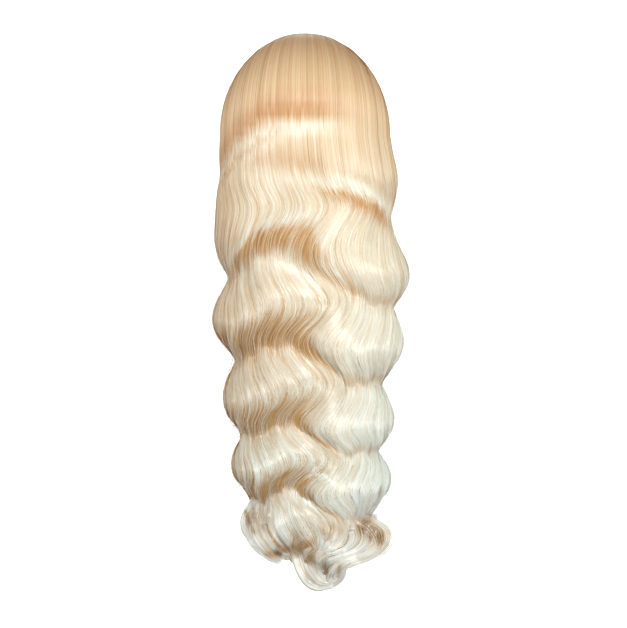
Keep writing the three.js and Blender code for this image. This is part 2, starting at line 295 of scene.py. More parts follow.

# %% [markdown]
# Creases under the crown
#
# Where the smooth crown passes into the waves, the hair has a few shallow creases that run like arches
# round the head. They are too fine for the solids, so they are pressed into the hair here. Each crease has
# a table of its line and depth, and of how much golden painted shade the hair above it takes.

# %% Creases
# The golden column is painted shade above the crease.
CREASE_COLUMNS = "azimuth drop depth golden"
CREASES = (
    table(CREASE_COLUMNS, (-110, 58, 0, 0), (-90, 46, 1.6, 0.4), (-71, 32, 2.2, 0.6), (-56, 16, 2.6, 0.7),
          (-40, 1, 3.0, 0.8), (-28, -8, 3.2, 0.85), (-14, -12, 3.4, 0.9), (10, -14, 3.0, 0.75),
          (24, -12, 1.6, 0.35), (42, -10, 0, 0)),
    table(CREASE_COLUMNS, (-85, 64, 0, 0), (-65, 45, 1.2, 0.8), (-50, 27, 1.6, 0.9), (-36, 14, 1.6, 0.8),
          (-23, 5, 1.2, 0.5), (-10, 1, 0, 0)),
    table(CREASE_COLUMNS, (-62, 46, 0, 0.1), (-40, 37, 0.9, 0.25), (-20, 37, 1.3, 0.35), (-3, 39, 1.7, 0.45),
          (14, 45, 2.4, 0.3), (28, 50, 2.6, 0.1), (45, 62, 2.4, 0.1), (71, 83, 1.6, 0.4), (95, 95, 0, 0)),
)
CREASE_WIDTHS = (9, 5, 10)


def crease_depth(azimuth, drop):
    depth = 0
    for rows, width in zip(CREASES, CREASE_WIDTHS):
        off = (drop - read(rows, "drop", azimuth)) / width
        depth = depth + read(rows, "depth", azimuth) * np.exp(-(off**2))
    return depth


print("deepest crease:", max(rows["depth"].max() for rows in CREASES), "mm")

# %% [markdown]
# Painted golden shade and pale highlight bands
#
# Golden painted shade stands in for light passed from hair to hair above each crease, and a pale painted
# highlight lies where the hair turns out again below it. The creases under the crown have such a pair of
# bands, and so has every wave further down. In two places the upper hair overhangs instead, with a painted
# pale highlight on its rim and golden painted shade below it. One function gives both shades at any place,
# so that all strands there agree.

# %% Bands
# Golden bands are painted shade, pale bands painted highlight.
SHADE_BAND_WIDTHS, HIGHLIGHT_BAND_WIDTHS = (17, 4, 15), (8, 5, 6)  # of the bands at each crease
FULL_CREASE = 3.4  # below a crease this deep the pale band is at its full strength
OVERHANG_COLUMNS = "azimuth drop strength reach"
# Each overhang has a painted highlight on its rim and painted golden shade below it.
OVERHANGS = (
    table(OVERHANG_COLUMNS, (-75, 152, 0, 10), (-66, 147, 0.9, 14), (-52, 127, 1, 22), (-42, 106, 1, 34),
          (-30, 96, 1, 38), (-15, 90, 1, 40), (-7, 89, 1, 40), (2, 95, 0.9, 36), (10, 108, 0.7, 28),
          (20, 126, 0, 20)),
    table(OVERHANG_COLUMNS, (-4, 50, 0, 10), (6, 53, 0.7, 14), (20, 58, 1, 20), (34, 65, 1, 24),
          (48, 74, 1, 24), (64, 84, 1, 20), (85, 98, 0, 12)),
)
OVERHANG_HIGHLIGHT_RIM = 6  # width of the pale rim over an overhang
OVERHANG_EDGE, OVERHANG_FADE = 5, 0.35  # how sharply the shade starts, and the share of its reach it keeps
WAVES_START = (75, 115)  # the drops between which the waves' own bands fade in, on the right
WAVES_START_LEFT = (140, 180)
# The waves' painted shade and painted highlight, on the left and on the right.
WAVE_PAINTED_SHADE, WAVE_SHADE_SPREAD = (1.7, 0.5), (1.15, 0.45)  # on the left and on the right
WAVE_PAINTED_HIGHLIGHT, WAVE_HIGHLIGHT_SPREAD = 0.75, 0.5
LOW_BANDS, LOW_BAND_SHARE = (330, 450), 0.6  # the drops where the golden bands weaken, and what is left
MOST_PAINTED_SHADE, HIGHLIGHT_COVER = 1.2, 0.8


def bump(off, width, middle):
    """A soft bump of height 1. Its middle is given in widths."""
    return np.exp(-((off / width - middle) ** 2))


def painted_wave_bands(azimuth, drop):
    """The painted golden shade and pale highlight that the waves give the hair."""
    _, crease, across = wave_phase(azimuth, drop)
    off = (crease + np.pi) % (2 * np.pi) - np.pi
    shown = smooth_step(drop, *WAVES_START)
    golden = lerp(*WAVE_PAINTED_SHADE, across) * bump(off, lerp(*WAVE_SHADE_SPREAD, across), middle=-0.8)
    golden = golden * lerp(smooth_step(drop, *WAVES_START_LEFT), shown, across)
    golden = golden * lerp(1, LOW_BAND_SHARE, smooth_step(drop, *LOW_BANDS))
    return golden, WAVE_PAINTED_HIGHLIGHT * shown * bump(off, WAVE_HIGHLIGHT_SPREAD, middle=1.2)


def painted_bands(azimuth, drop):
    """Painted golden shade above creases and under overhangs, and painted pale highlight beside them."""
    golden, pale = painted_wave_bands(azimuth, drop)
    for rows, golden_width, pale_width in zip(CREASES, SHADE_BAND_WIDTHS, HIGHLIGHT_BAND_WIDTHS):
        off = drop - read(rows, "drop", azimuth)
        golden = golden + read(rows, "golden", azimuth) * bump(off, golden_width, middle=-0.7)
        pale = pale + read(rows, "depth", azimuth) / FULL_CREASE * bump(off, pale_width, middle=0.8)
    for rows in OVERHANGS:
        off = drop - read(rows, "drop", azimuth)
        strength, reach = read(rows, "strength", azimuth), read(rows, "reach", azimuth)
        under = smooth_step(off, 0, OVERHANG_EDGE) * (1 - smooth_step(off / reach, OVERHANG_FADE, 1))
        golden = golden + strength * under
        pale = pale + strength * bump(off, OVERHANG_HIGHLIGHT_RIM, middle=-0.9)
    pale = np.clip(pale, 0, 1)
    return np.clip(golden, 0, MOST_PAINTED_SHADE) * (1 - HIGHLIGHT_COVER * pale), pale


shades = [round(float(shade), 2) for shade in painted_bands(-15.0, 105.0)]
print("golden and pale under the first overhang:", *shades)

# %% [markdown]
# Hair colour
#
# Bleached blonde hair is golden beige where it is thick over the crown and pales to cream at the tips. The
# darkest colours, at the roots over the top of the crown, are partly its own colour and partly painted
# shade.
# So every vertex carries three numbers: the strand's own tone, which painted highlights raise, how far along
# the hair it lies, and how golden it is. That last number holds golden streaks of the hair's own and painted
# shade, where the hair lies deep, above a crease, in a hollow or on the left side. One shader turns them
# into colour. Anisotropy stretches the gloss across the hair, which draws the bright bands of a body wave.

# %% Hair material
# The darkest stops, at the roots over the crown, are partly painted shade.
ROOT_TO_TIP = (
    (0.05, (0.37, 0.22, 0.10)),
    (0.16, (0.44, 0.28, 0.14)),
    (0.25, (0.62, 0.47, 0.28)),
    (0.33, (0.67, 0.57, 0.40)),
    (0.40, (0.67, 0.62, 0.48)),
    (0.50, (0.65, 0.62, 0.50)),
    (0.88, (0.62, 0.66, 0.60)),
    (1.00, (0.56, 0.58, 0.545)),
)
TONES = (
    (0.00, (0.38, 0.27, 0.18)),
    (0.30, (0.84, 0.77, 0.68)),
    (0.65, (1.00, 1.00, 1.00)),
    (1.00, (1.08, 1.15, 1.27)),
)
# The tint of full painted shade.
PAINTED_SHADE_TINT = (0.72, 0.42, 0.17, 1)


def new_material(name):
    material = bpy.data.materials.new(name)
    material.use_nodes = True
    tree = material.node_tree
    return material, tree, tree.nodes["Principled BSDF"]


def add_node(tree, kind, **settings):
    node = tree.nodes.new(kind)
    for key, value in settings.items():
        setattr(node, key, value)
    return node


def ramp_node(tree, stops):
    ramp = add_node(tree, "ShaderNodeValToRGB")
    elements = ramp.color_ramp.elements
    while len(elements) < len(stops):
        elements.new(0.5)
    for element, (place, colour) in zip(elements, stops):
        element.position = place
        element.color = (*colour, 1)
    return ramp


def hair_material():
    material, tree, shader = new_material("silky_hair")
    link = tree.links.new
    strand = add_node(tree, "ShaderNodeAttribute", attribute_name="strand")
    parts = add_node(tree, "ShaderNodeSeparateColor")
    link(strand.outputs["Color"], parts.inputs["Color"])
    tone, along, depth = parts.outputs

    length_colour = ramp_node(tree, ROOT_TO_TIP)
    link(along, length_colour.inputs["Fac"])
    tone_colour = ramp_node(tree, TONES)
    link(tone, tone_colour.inputs["Fac"])
    toned = add_node(tree, "ShaderNodeMix", data_type="RGBA", blend_type="MULTIPLY")
    toned.inputs["Factor"].default_value = 1
    link(length_colour.outputs["Color"], toned.inputs["A"])
    link(tone_colour.outputs["Color"], toned.inputs["B"])
    # Painted shade: the third number tints the colour golden and darker.
    painted_shade_mix = add_node(tree, "ShaderNodeMix", data_type="RGBA", blend_type="MULTIPLY")
    link(depth, painted_shade_mix.inputs["Factor"])
    link(toned.outputs["Result"], painted_shade_mix.inputs["A"])
    painted_shade_mix.inputs["B"].default_value = PAINTED_SHADE_TINT
    link(painted_shade_mix.outputs["Result"], shader.inputs["Base Color"])

    sleekness = add_node(tree, "ShaderNodeMapRange")
    for socket, value in (("From Min", 0.26), ("From Max", 0.36), ("To Min", 0.52), ("To Max", 0.3)):
        sleekness.inputs[socket].default_value = value
    link(along, sleekness.inputs["Value"])
    link(sleekness.outputs["Result"], shader.inputs["Roughness"])
    shader.inputs["Anisotropic"].default_value = 0.85
    shader.inputs["Specular IOR Level"].default_value = 0.85
    tangent = add_node(tree, "ShaderNodeTangent", direction_type="UV_MAP", uv_map="OFBake")
    link(tangent.outputs["Tangent"], shader.inputs["Tangent"])
    return material


blonde_hair = hair_material()
print("material:", blonde_hair.name)

# %% [markdown]
# Making a mesh from arrays
#
# Hair means many thousands of corners, so loops over single vertices would be slow. One helper takes whole
# arrays of corners, faces, texture places and strand numbers, and hands them to Blender in one go. Ribbons
# also bring normals of their own, so that they shade like the smooth surface that they lie on.


# %% Mesh from arrays
def make_piece(name, points, faces, places, strand, material, normals=None, slot="blonde_hair"):
    """A smooth mesh piece that rides with the wig. Points are in millimetres."""
    mesh = bpy.data.meshes.new(name)
    mesh.vertices.add(len(points))
    mesh.vertices.foreach_set("co", (points * MM).astype(np.float32).ravel())
    mesh.loops.add(faces.size)
    mesh.loops.foreach_set("vertex_index", faces.astype(np.int32).ravel())
    mesh.polygons.add(len(faces))
    mesh.polygons.foreach_set("loop_start", np.arange(0, faces.size, faces.shape[1], dtype=np.int32))
    mesh.update(calc_edges=True)
    mesh.polygons.foreach_set("use_smooth", np.ones(len(faces), dtype=bool))
    layer = mesh.uv_layers.new(name="OFBake")
    layer.data.foreach_set("uv", places[faces.ravel()].astype(np.float32).ravel())
    if strand is not None:
        colour = np.concatenate([strand, np.ones((len(strand), 1))], axis=1)
        attribute = mesh.attributes.new("strand", "FLOAT_COLOR", "POINT")
        attribute.data.foreach_set("color", colour.astype(np.float32).ravel())
    mesh.materials.append(material)
    if normals is not None:
        mesh.normals_split_custom_set_from_vertices(normals)
    piece = bpy.data.objects.new(name, mesh)
    bpy.context.scene.collection.objects.link(piece)
    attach(piece, "root")
    return piece


# %% [markdown]
# Closed shells from rings
#
# The cap and the cores are closed shells. Each is a stack of rings of corners, joined by triangles. The ends
# of a dome are closed by fans of triangles. A bent sheet needs strips between its two faces instead, because
# a fan would cut across its bend.


# %% Shells
def grid_faces(rows, columns):
    """Triangles of a grid of corners that is stored row by row and closed round its columns."""
    row, column = np.meshgrid(np.arange(rows - 1), np.arange(columns), indexing="ij")
    after = (column + 1) % columns
    a, b = row * columns + column, row * columns + after
    c, d = a + columns, b + columns
    return np.concatenate([np.stack([a, b, d], -1).reshape(-1, 3), np.stack([a, d, c], -1).reshape(-1, 3)])


def grid_places(rows, columns):
    """A place in the texture for each corner of the grid, a little inside its edge."""
    across, down = np.meshgrid(np.linspace(0.01, 0.99, columns), np.linspace(0.01, 0.99, rows))
    return np.stack([across, down], -1).reshape(-1, 2)


def closed_tube(rings):
    """Corners, faces and texture places of a stack of rings, closed at both ends by fans."""
    count, size, _ = rings.shape
    ring = np.arange(size)
    after = (ring + 1) % size
    top, low, last = count * size, count * size + 1, (count - 1) * size
    fans = [np.stack([np.full(size, top), after, ring], 1),
            np.stack([np.full(size, low), last + ring, last + after], 1)]
    points = np.concatenate([rings.reshape(-1, 3), [rings[0].mean(0), rings[-1].mean(0)]])
    places = np.concatenate([grid_places(count, size), [(0.5, 0), (0.5, 1)]])
    return points, np.concatenate([grid_faces(count, size), *fans]), places


def closed_sheet(rings):
    """The same for a thick bent sheet, whose rings run across its face and back along its inside."""
    count, size, _ = rings.shape
    face = np.arange(size // 2 - 1)
    back = size - 1 - face
    top = np.concatenate([np.stack([face + 1, face, back], 1), np.stack([face + 1, back, back - 1], 1)])
    low = top[:, ::-1] + (count - 1) * size
    faces = np.concatenate([grid_faces(count, size), top, low])
    return rings.reshape(-1, 3), faces, grid_places(count, size)


# %% [markdown]
# The cap
#
# The hair is tied to a thin stretch net. Its inside shows from below and from the front, so it gets a fine
# smooth shell in place of the faceted one, and a net of small cells in its colour and bump.

# %% Cap
CAP_EDGE = table(
    "azimuth polar",
    (0, 128), (35, 125), (62, 112), (85, 100), (104, 105), (124, 95), (150, 79), (180, 69),
)
CAP_COLUMNS, CAP_ROWS = 120, 44
CROWN_HOLE = 0.004  # share of the way to the edge at which the rings start
NET_CELL_SCALE = 420
NET_COLOURS = ((0.0, (0.78, 0.55, 0.34)), (0.12, (0.66, 0.44, 0.26)), (0.3, (0.36, 0.22, 0.12)))


def net_material():
    material, tree, shader = new_material("stretch_net")
    link = tree.links.new
    place = add_node(tree, "ShaderNodeTexCoord")
    cells = add_node(tree, "ShaderNodeTexVoronoi", feature="DISTANCE_TO_EDGE")
    cells.inputs["Scale"].default_value = NET_CELL_SCALE
    link(place.outputs["Object"], cells.inputs["Vector"])
    threads = ramp_node(tree, NET_COLOURS)
    link(cells.outputs["Distance"], threads.inputs["Fac"])
    link(threads.outputs["Color"], shader.inputs["Base Color"])
    relief = add_node(tree, "ShaderNodeBump", invert=True)
    relief.inputs["Strength"].default_value = 0.6
    relief.inputs["Distance"].default_value = 0.0006
    link(cells.outputs["Distance"], relief.inputs["Height"])
    link(relief.outputs["Normal"], shader.inputs["Normal"])
    shader.inputs["Roughness"].default_value = 0.85
    return material


def dome_rings(edge_polar, outer):
    """Rings down the outside of a shell over the head and up its inside."""
    azimuth = np.linspace(-180, 180, CAP_COLUMNS, endpoint=False)[None]
    share = np.concatenate([np.linspace(CROWN_HOLE, 1, CAP_ROWS), np.linspace(1, CROWN_HOLE, CAP_ROWS)])
    share = share[:, None]
    polar = share * read(edge_polar, "polar", np.abs(azimuth))
    azimuth = np.broadcast_to(azimuth, polar.shape)
    inner = np.repeat([0.0, 1.0], CAP_ROWS)[:, None]
    return head_point(azimuth, polar, outer(azimuth, polar, inner)), azimuth, share, inner


rings, *_ = dome_rings(CAP_EDGE, lambda azimuth, polar, inner: CAP_WALL * (1 - inner) + 0 * polar)
points, faces, places = closed_tube(rings)
cap = make_piece("net_cap", points, faces[:, ::-1], places, None, net_material(), slot="cap_net")
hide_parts("cap_crown", "cap_band")
print("cap triangles:", len(cap.data.polygons))

# %% [markdown]
# The core over the crown
#
# Behind the ribbons lies the rest of the hair, too deep to show as single strands. Each solid of the model
# is rebuilt as a smooth closed core with the same form, a little smaller, and with the same strand numbers,
# so that it takes the same colour. It closes the gaps between the ribbons. The first core covers the cap.

# %% Crown core
CORE_INSET = 2.4
CORE_TONE, CORE_STREAK = 0.52, 0.15
# Painted shade over the whole core, which lies deep, and more on its inside face.
CORE_PAINTED_SHADE, CORE_INSIDE_SHADE = 0.35, 0.2
GIRTH_ALONG = 0.3  # where the girth lies on the way from root to tip


def core_numbers(across, along, inner):
    """Strand numbers for a core: streaks across it, its place along the hair, and painted shade for depth.
    """
    streak = CORE_TONE + CORE_STREAK * np.sin(across * 173 + 4 * np.sin(across * 37))
    return np.stack(np.broadcast_arrays(streak, along, CORE_PAINTED_SHADE + CORE_INSIDE_SHADE * inner), -1)


def crown_outside(azimuth, polar, inner):
    drop = -(HEAD_RISE + GIRTH_DEPTH) * np.cos(np.radians(polar))
    depth = np.maximum(crown_depth(azimuth, polar) - CORE_INSET - crease_depth(azimuth, drop), 0.4)
    return UNDER_CROWN + np.where(inner > 0, 0.2, depth)


rings, azimuth, share, inner = dome_rings(HAIRLINE, crown_outside)
points, faces, places = closed_tube(rings)
numbers = core_numbers(np.abs(azimuth) / 60, GIRTH_ALONG * share, inner)
numbers = np.concatenate([numbers.reshape(-1, 3), numbers[0, :1], numbers[-1, :1]])
core = make_piece("crown_core", points, faces[:, ::-1], places, numbers, blonde_hair)
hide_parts("crown_hair")
print("crown core triangles:", len(core.data.polygons))

# %% [markdown]
# The cores of the falls
#
# Each fall hangs as a thick bent sheet that grows thin towards the hem. Its inner face follows the waves
# only half as far as its outer one. The core ends above the tips, which are left to the strands.

# %% Fall cores
HEM = table(
    "azimuth drop",
    (-128, 418), (-90, 436), (-48, 448), (-20, 457), (8, LONGEST_DROP), (22, 474), (34, 452),
    (50, 440), (90, 436), (128, 418),
)
FALL_DEPTH = table(
    "along depth",
    (0, GIRTH_DEPTH), (0.05, GIRTH_DEPTH), (0.1, 13.5), (0.17, 18), (0.4, 19.5), (0.75, 17), (0.92, 12),
    (1, 4.5),
)
INNER_WAVE = 0.5  # share of the waves that the inner face of the hair follows
LOCK_POINT = 12  # how much longer a lock is in its middle
CORE_COLUMNS, CORE_ROWS = 44, 130
CORE_HEM = 0.93


def fall_core(low, high):
    across = np.linspace(low + 0.1, high - 0.1, CORE_COLUMNS)
    azimuth = np.concatenate([across, across[::-1]])[None]
    inner = np.repeat([0.0, 1.0], CORE_COLUMNS)[None]
    along = np.linspace(0, CORE_HEM, CORE_ROWS)[:, None]
    drop = along * read(HEM, "drop", azimuth)
    depth = read(FALL_DEPTH, "depth", along)
    inset = np.minimum(CORE_INSET, depth / 3)
    outward, sideways = wave(azimuth, drop)
    outer_reach = outward - crease_depth(azimuth, drop) - lock_ridge(azimuth, along) - inset
    reach = np.where(inner > 0, outward * INNER_WAVE - depth + inset, outer_reach)
    shortening = LOCK_POINT * (1 - lock_place(azimuth) ** 2) * along**3
    points, faces, places = closed_sheet(curtain_point(azimuth, drop - shortening, reach, sideways))
    numbers = core_numbers(azimuth / 60, lerp(GIRTH_ALONG, 1, along), inner)
    return points, faces, places, numbers.reshape(-1, 3)


for node, (low, high, _) in FALLS.items():
    core = make_piece(node.replace("hair", "core"), *fall_core(low, high), blonde_hair)
    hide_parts(node)
    print(core.name, "triangles:", len(core.data.polygons))

# %% [markdown]
# Where a strand runs
#
# A strand starts at a short centre parting above the forehead, crosses the crown and then hangs on the
# curtain. Over the head its way is a curve bent towards a point above its place on the girth, so that it
# arrives hanging straight down. In the air it follows the waves, and near its tip it turns in a hook.

# %% Strand paths
POLE_POLAR = 38  # where the parting ends, in front of the crown
HAIRLINE_POLAR = 64
BEND_POLAR = 52  # the height at which the hair at the back starts to hang
BEND_POLAR_FRONT = 75
FRINGE_SWEEP = 24  # how far in front of the temple the foremost hair runs along the hairline
FIRST_SWAY = 11  # the strands' own sway at the back, above the first big wave
FIRST_SWAY_DROP, FIRST_SWAY_SPREAD = 75, 20
FIRST_SWAY_END = (60, 100)  # the azimuths between which it is lost
HOOK_SHAPE = 1.2  # how late a tip starts to turn
FRONT_FROM = 45  # the azimuth from which the roots lie further forward
ROOT_SPREAD, ROOT_SPREAD_AT = 2.0, (5, 60)  # how far beside the parting roots lie, and at which azimuths
ROOT_DEPTH, ROOT_END = 0.85, 0.12  # how deep the hair is at its roots, and where it is at its full depth
DOME_STEPS = 14
FALL_STEPS = 68


def on_sphere(azimuth, polar):
    a, p = np.radians(azimuth), np.radians(polar)
    return np.stack([np.sin(p) * np.sin(a), -np.sin(p) * np.cos(a), np.cos(p)], axis=-1)


def crown_path(azimuth, inside):
    """Points of each strand from its root to the girth, with their azimuths and drops."""
    to_front = smooth_step(np.abs(azimuth), FRONT_FROM, FRONT_AZIMUTH)
    from_parting = ROOT_SPREAD * np.sign(azimuth) * smooth_step(np.abs(azimuth), *ROOT_SPREAD_AT)
    root = on_sphere(180 - from_parting, lerp(POLE_POLAR, HAIRLINE_POLAR, to_front))
    swept = azimuth + FRINGE_SWEEP * np.sign(azimuth) * to_front**3
    bend = on_sphere(swept, lerp(BEND_POLAR, BEND_POLAR_FRONT, to_front))
    girth = on_sphere(azimuth, np.full_like(azimuth, 90.0))
    t = np.linspace(0, 1, DOME_STEPS, endpoint=False)[None, :, None]
    way = (1 - t) ** 2 * root[:, None] + 2 * t * (1 - t) * bend[:, None] + t**2 * girth[:, None]
    way = unit(way)
    polar = np.degrees(np.arccos(way[..., 2]))
    around = np.degrees(np.arctan2(way[..., 0], -way[..., 1]))
    drop = -(HEAD_RISE + GIRTH_DEPTH) * np.cos(np.radians(polar))
    lift = lerp(ROOT_DEPTH, 1, smooth_step(t[..., 0], 0, ROOT_END))
    depth = crown_depth(around, polar) * lift - inside[:, None] - crease_depth(around, drop)
    return head_point(around, polar, UNDER_CROWN + np.maximum(depth, 0.3)), around, drop


def hanging_path(strands, azimuth_step=0.0):
    """Points of each strand below the girth, or of a neighbour a small step round the head."""
    azimuth = strands["azimuth"] + azimuth_step
    drop = strands["drop"]
    outward, sideways = wave(azimuth, drop, strands["lag"])
    first_sway = FIRST_SWAY * np.exp(-(((drop - FIRST_SWAY_DROP) / FIRST_SWAY_SPREAD) ** 2))
    first_sway = first_sway * (1 - smooth_step(np.abs(azimuth), *FIRST_SWAY_END))
    sideways = (sideways + first_sway) * strands["sway"]
    step_side, step_drop = np.diff(sideways, axis=1), np.diff(drop, axis=1)
    to_tip = drop[:, -1:] - drop[:, 1:]
    turn = strands["hook"] * np.clip(1 - to_tip / strands["hook_length"], 0, 1) ** HOOK_SHAPE
    turned_side = step_side * np.cos(turn) + step_drop * np.sin(turn)
    turned_drop = step_drop * np.cos(turn) - step_side * np.sin(turn)
    hooked_side = np.concatenate([sideways[:, :1], sideways[:, :1] + np.cumsum(turned_side, 1)], 1)
    hooked_drop = np.concatenate([drop[:, :1], drop[:, :1] + np.cumsum(turned_drop, 1)], 1)
    crease = crease_depth(azimuth, drop)
    return curtain_point(azimuth, hooked_drop, outward - strands["inside"] - crease, hooked_side)


print("points of a strand:", DOME_STEPS, "over the crown and", FALL_STEPS + 1, "below the girth")

# %% [markdown]
# From a path to a ribbon
#
# A round hair would need many faces, and a flat ribbon about a millimetre wide reads the same from a
# normal distance. Each ribbon is twisted by a small angle of its own, so that some strands catch the light
# where their neighbours don't. Light passes through real hair, so the undersides of the waves are less dark
# than those of a solid. To show that, single strands throw no shadow, and normals that point down are
# raised halfway to level. The cores throw the broad shadows.

# %% Ribbons
UNDERSIDE_SHADE = 0.5  # how far a downward normal still points down
# Painted shade on the deepest strands, and painted highlight from the pale bands.
PAINTED_DEPTH_SHADE = 0.22  # how golden the deepest strands are
HIGHLIGHT_SHIFT = 0.15  # how far a pale band moves along the colours from root to tip
HIGHLIGHT_TONE = 0.35
TWIST_SHADE, EDGE_ROUND = 0.6, 0.3  # how far a ribbon's twist and its edges turn its normals


def ribbon_mesh(paths, outs, width, twist, tone, level, along, bands):
    """Corners, quads, texture places, strand numbers and normals of ribbons along equally long paths."""
    count, steps, _ = paths.shape
    outs = outs * np.where(outs[..., 2:] < 0, (1, 1, UNDERSIDE_SHADE), (1, 1, 1))
    tangent = unit(np.gradient(paths, axis=1))
    normal = unit(outs - (outs * tangent).sum(-1, keepdims=True) * tangent)
    side = np.cross(tangent, normal)
    turned = side * np.cos(twist)[..., None] + normal * np.sin(twist)[..., None]
    lean = twist * TWIST_SHADE
    shade = normal * np.cos(lean)[..., None] - side * np.sin(lean)[..., None]
    edge = turned * (width / 2)[..., None]
    points = np.stack([paths - edge, paths + edge], axis=2).reshape(-1, 3)
    rounded = EDGE_ROUND * turned
    normals = unit(np.stack([shade - rounded, shade + rounded], axis=2)).reshape(-1, 3)
    start = (np.arange(count)[:, None] * steps + np.arange(steps - 1)[None]).ravel() * 2
    faces = np.stack([start, start + 1, start + 3, start + 2], 1)
    column = np.broadcast_to((np.arange(count) + 0.5)[:, None] / count, along.shape)
    places = np.stack([np.stack([column + s * 0.4 / count, along], -1) for s in (-1, 1)], axis=2)
    # Painted shade tints deep strands and golden bands; painted highlight raises the tone of pale bands.
    golden, pale = bands
    depth = np.clip(PAINTED_DEPTH_SHADE * level + golden, 0, 1)
    tone = np.clip(tone + HIGHLIGHT_TONE * pale, 0, 1)
    place = along + HIGHLIGHT_SHIFT * pale * (1 - smooth_step(along, 0.4, 0.6))
    numbers = np.stack(np.broadcast_arrays(tone, place, depth), -1).reshape(-1, 3)
    return points, faces, places.reshape(-1, 2), np.repeat(numbers, 2, axis=0), normals


def length_share(paths):
    """How far along its strand each point lies, from 0 at the first to 1 at the last."""
    reach = np.cumsum(np.linalg.norm(np.diff(paths, axis=1), axis=-1), axis=1)
    return np.concatenate([np.zeros((len(paths), 1)), reach], axis=1) / reach[:, -1:]


def taper(share, root=0.75, tip=0.25):
    return lerp(root, 1, smooth_step(share, 0, 0.1)) * lerp(1, tip, smooth_step(share, 0.85, 1))


def add_strands(name, mesh_parts):
    points, faces, places, numbers, normals = mesh_parts
    piece = make_piece(name, points, faces, places, numbers, blonde_hair, normals)
    piece.visible_shadow = False
    print(name, "triangles:", 2 * len(piece.data.polygons))


print("share of a ribbon's width at its root and its tip:", taper(0.0), taper(1.0))

# %% [markdown]
# Painted shade in the hollows of the hem
#
# Where the tips roll under, one looks between the strands into shade, which is painted as darker and more
# golden hair. A table gives each such hollow as a line across and down the back, with its half width and its
# painted shades. Strands that pass a hollow take up its painted shade in different amounts, so that it looks
# streaky.

# %% Hollows
# Painted shade of each hollow: how dark and how golden it is.
PAINTED_HOLLOWS = table(
    "x drop end_x end_drop half_width dark golden",
    (62, 412, 80, 427, 7, 0.9, 0.6), (26, 406, 60, 408, 6, 0.1, 0.4), (-43, 408, -27, 428, 3, 0.8, 0.5),
    (-66, 396, -54, 416, 2.5, 0.5, 0.4), (-38, 439, 8, 421, 5, 0.2, 0.8), (19, 446, 26, 459, 3, 0.6, 0.3),
    (36, 444, 35, 455, 2.5, 0.6, 0.3), (-8, 412, 25, 408, 7, 0.1, 0.2),
)
HOLLOW_SHARES = (0.3, 1.4)  # the least and the most that a strand takes up of a hollow's shade


def painted_hollow_shades(paths):
    """How dark and how golden the painted shade of the hollows makes each point of the strands."""
    x, y, z = np.moveaxis(paths, -1, 0)
    drop = -HEAD_RISE - z
    dark, golden = 0, 0
    for row in PAINTED_HOLLOWS:
        run_x, run_drop = row["end_x"] - row["x"], row["end_drop"] - row["drop"]
        from_x, from_drop = x - row["x"], drop - row["drop"]
        place = np.clip((from_x * run_x + from_drop * run_drop) / (run_x**2 + run_drop**2), 0, 1)
        off = np.hypot(from_x - place * run_x, from_drop - place * run_drop)
        near = bump(off, row["half_width"], middle=0)
        dark = dark + row["dark"] * near
        golden = golden + row["golden"] * near
    taken = dice.uniform(*HOLLOW_SHARES, (len(paths), 1)) * (y < 0)
    return dark * taken, golden * taken


print("hollows in the hem:", len(PAINTED_HOLLOWS))

# %% [markdown]
# Courses of the outer strands
#
# These are the strands that show. They share the arc of the head evenly, gather into small bundles on their
# way down, and lie at slightly different depths. Bundles differ a little in when their waves come. A table
# says how the tips turn and tuck under at each place round the head. At the back the strands end a little
# short, because separate locks finish the hem.

# %% Outer courses
BUNDLE_ANGLE = 1.1
GATHER, GATHERED = 0.4, (30, 330)  # how far strands draw together in a bundle, and between which drops
LOOSENED = (0, 180)  # the drops between which strands come free to stray
WANDER, WANDER_PACE = 1.0, (0.008, 0.03)  # how many degrees a strand strays, and how fast
BUNDLE_LAG, STRAND_LAG, SWAY_SPREAD = 0.015, 0.014, 0.09  # how much the waves of bundles and strands differ
BUNDLE_ROUND, BUNDLE_SINK, FURROW_SINK = 0.4, 0.3, 0.8  # how deep bundles, and furrows between locks, sink
TIP_OVER, TIP_SHAPE, TIP_SPREAD = 10, 1.5, 5  # how far tips pass the hem, and how uneven they end
HOOK_SPREAD = 14
TUCK_LENGTH = 50  # how far above its tip a strand starts to tuck under
LOCKS_AT = (-75, 80)  # the part of the hem that the locks finish
BACK_SHORTENING = 26
PLAIN_STEPS = (3, 8)  # the points of a strand between which the waves take over the way it faces
TIP_HOOK = table(
    "azimuth turn length tuck",
    (-128, 45, 45, 4), (-90, 55, 50, 4), (-62, 45, 50, 5), (-20, 25, 45, 4), (20, 0, 45, 4),
    (42, -40, 50, 5), (75, -80, 55, 9), (100, -70, 50, 8), (128, -50, 45, 4),
)


def strand_length(azimuth):
    """The drop at each strand's tip, longer in the middle of each lock."""
    left, right = LOCKS_AT
    at_back = smooth_step(azimuth, left - 15, left + 5) * (1 - smooth_step(azimuth, right - 5, right + 15))
    shortening = LOCK_POINT * (1 - lock_place(azimuth) ** 2) + BACK_SHORTENING * at_back
    return read(HEM, "drop", azimuth) - shortening


def in_bundles(azimuth):
    """The middle of each strand's bundle, and three numbers of chance that the bundle shares."""
    bundle = np.floor(azimuth / BUNDLE_ANGLE).astype(int)
    shared = dice.normal(0, 1, (3, bundle.max() - bundle.min() + 1))
    return (bundle + 0.5) * BUNDLE_ANGLE, shared[:, bundle - bundle.min()]


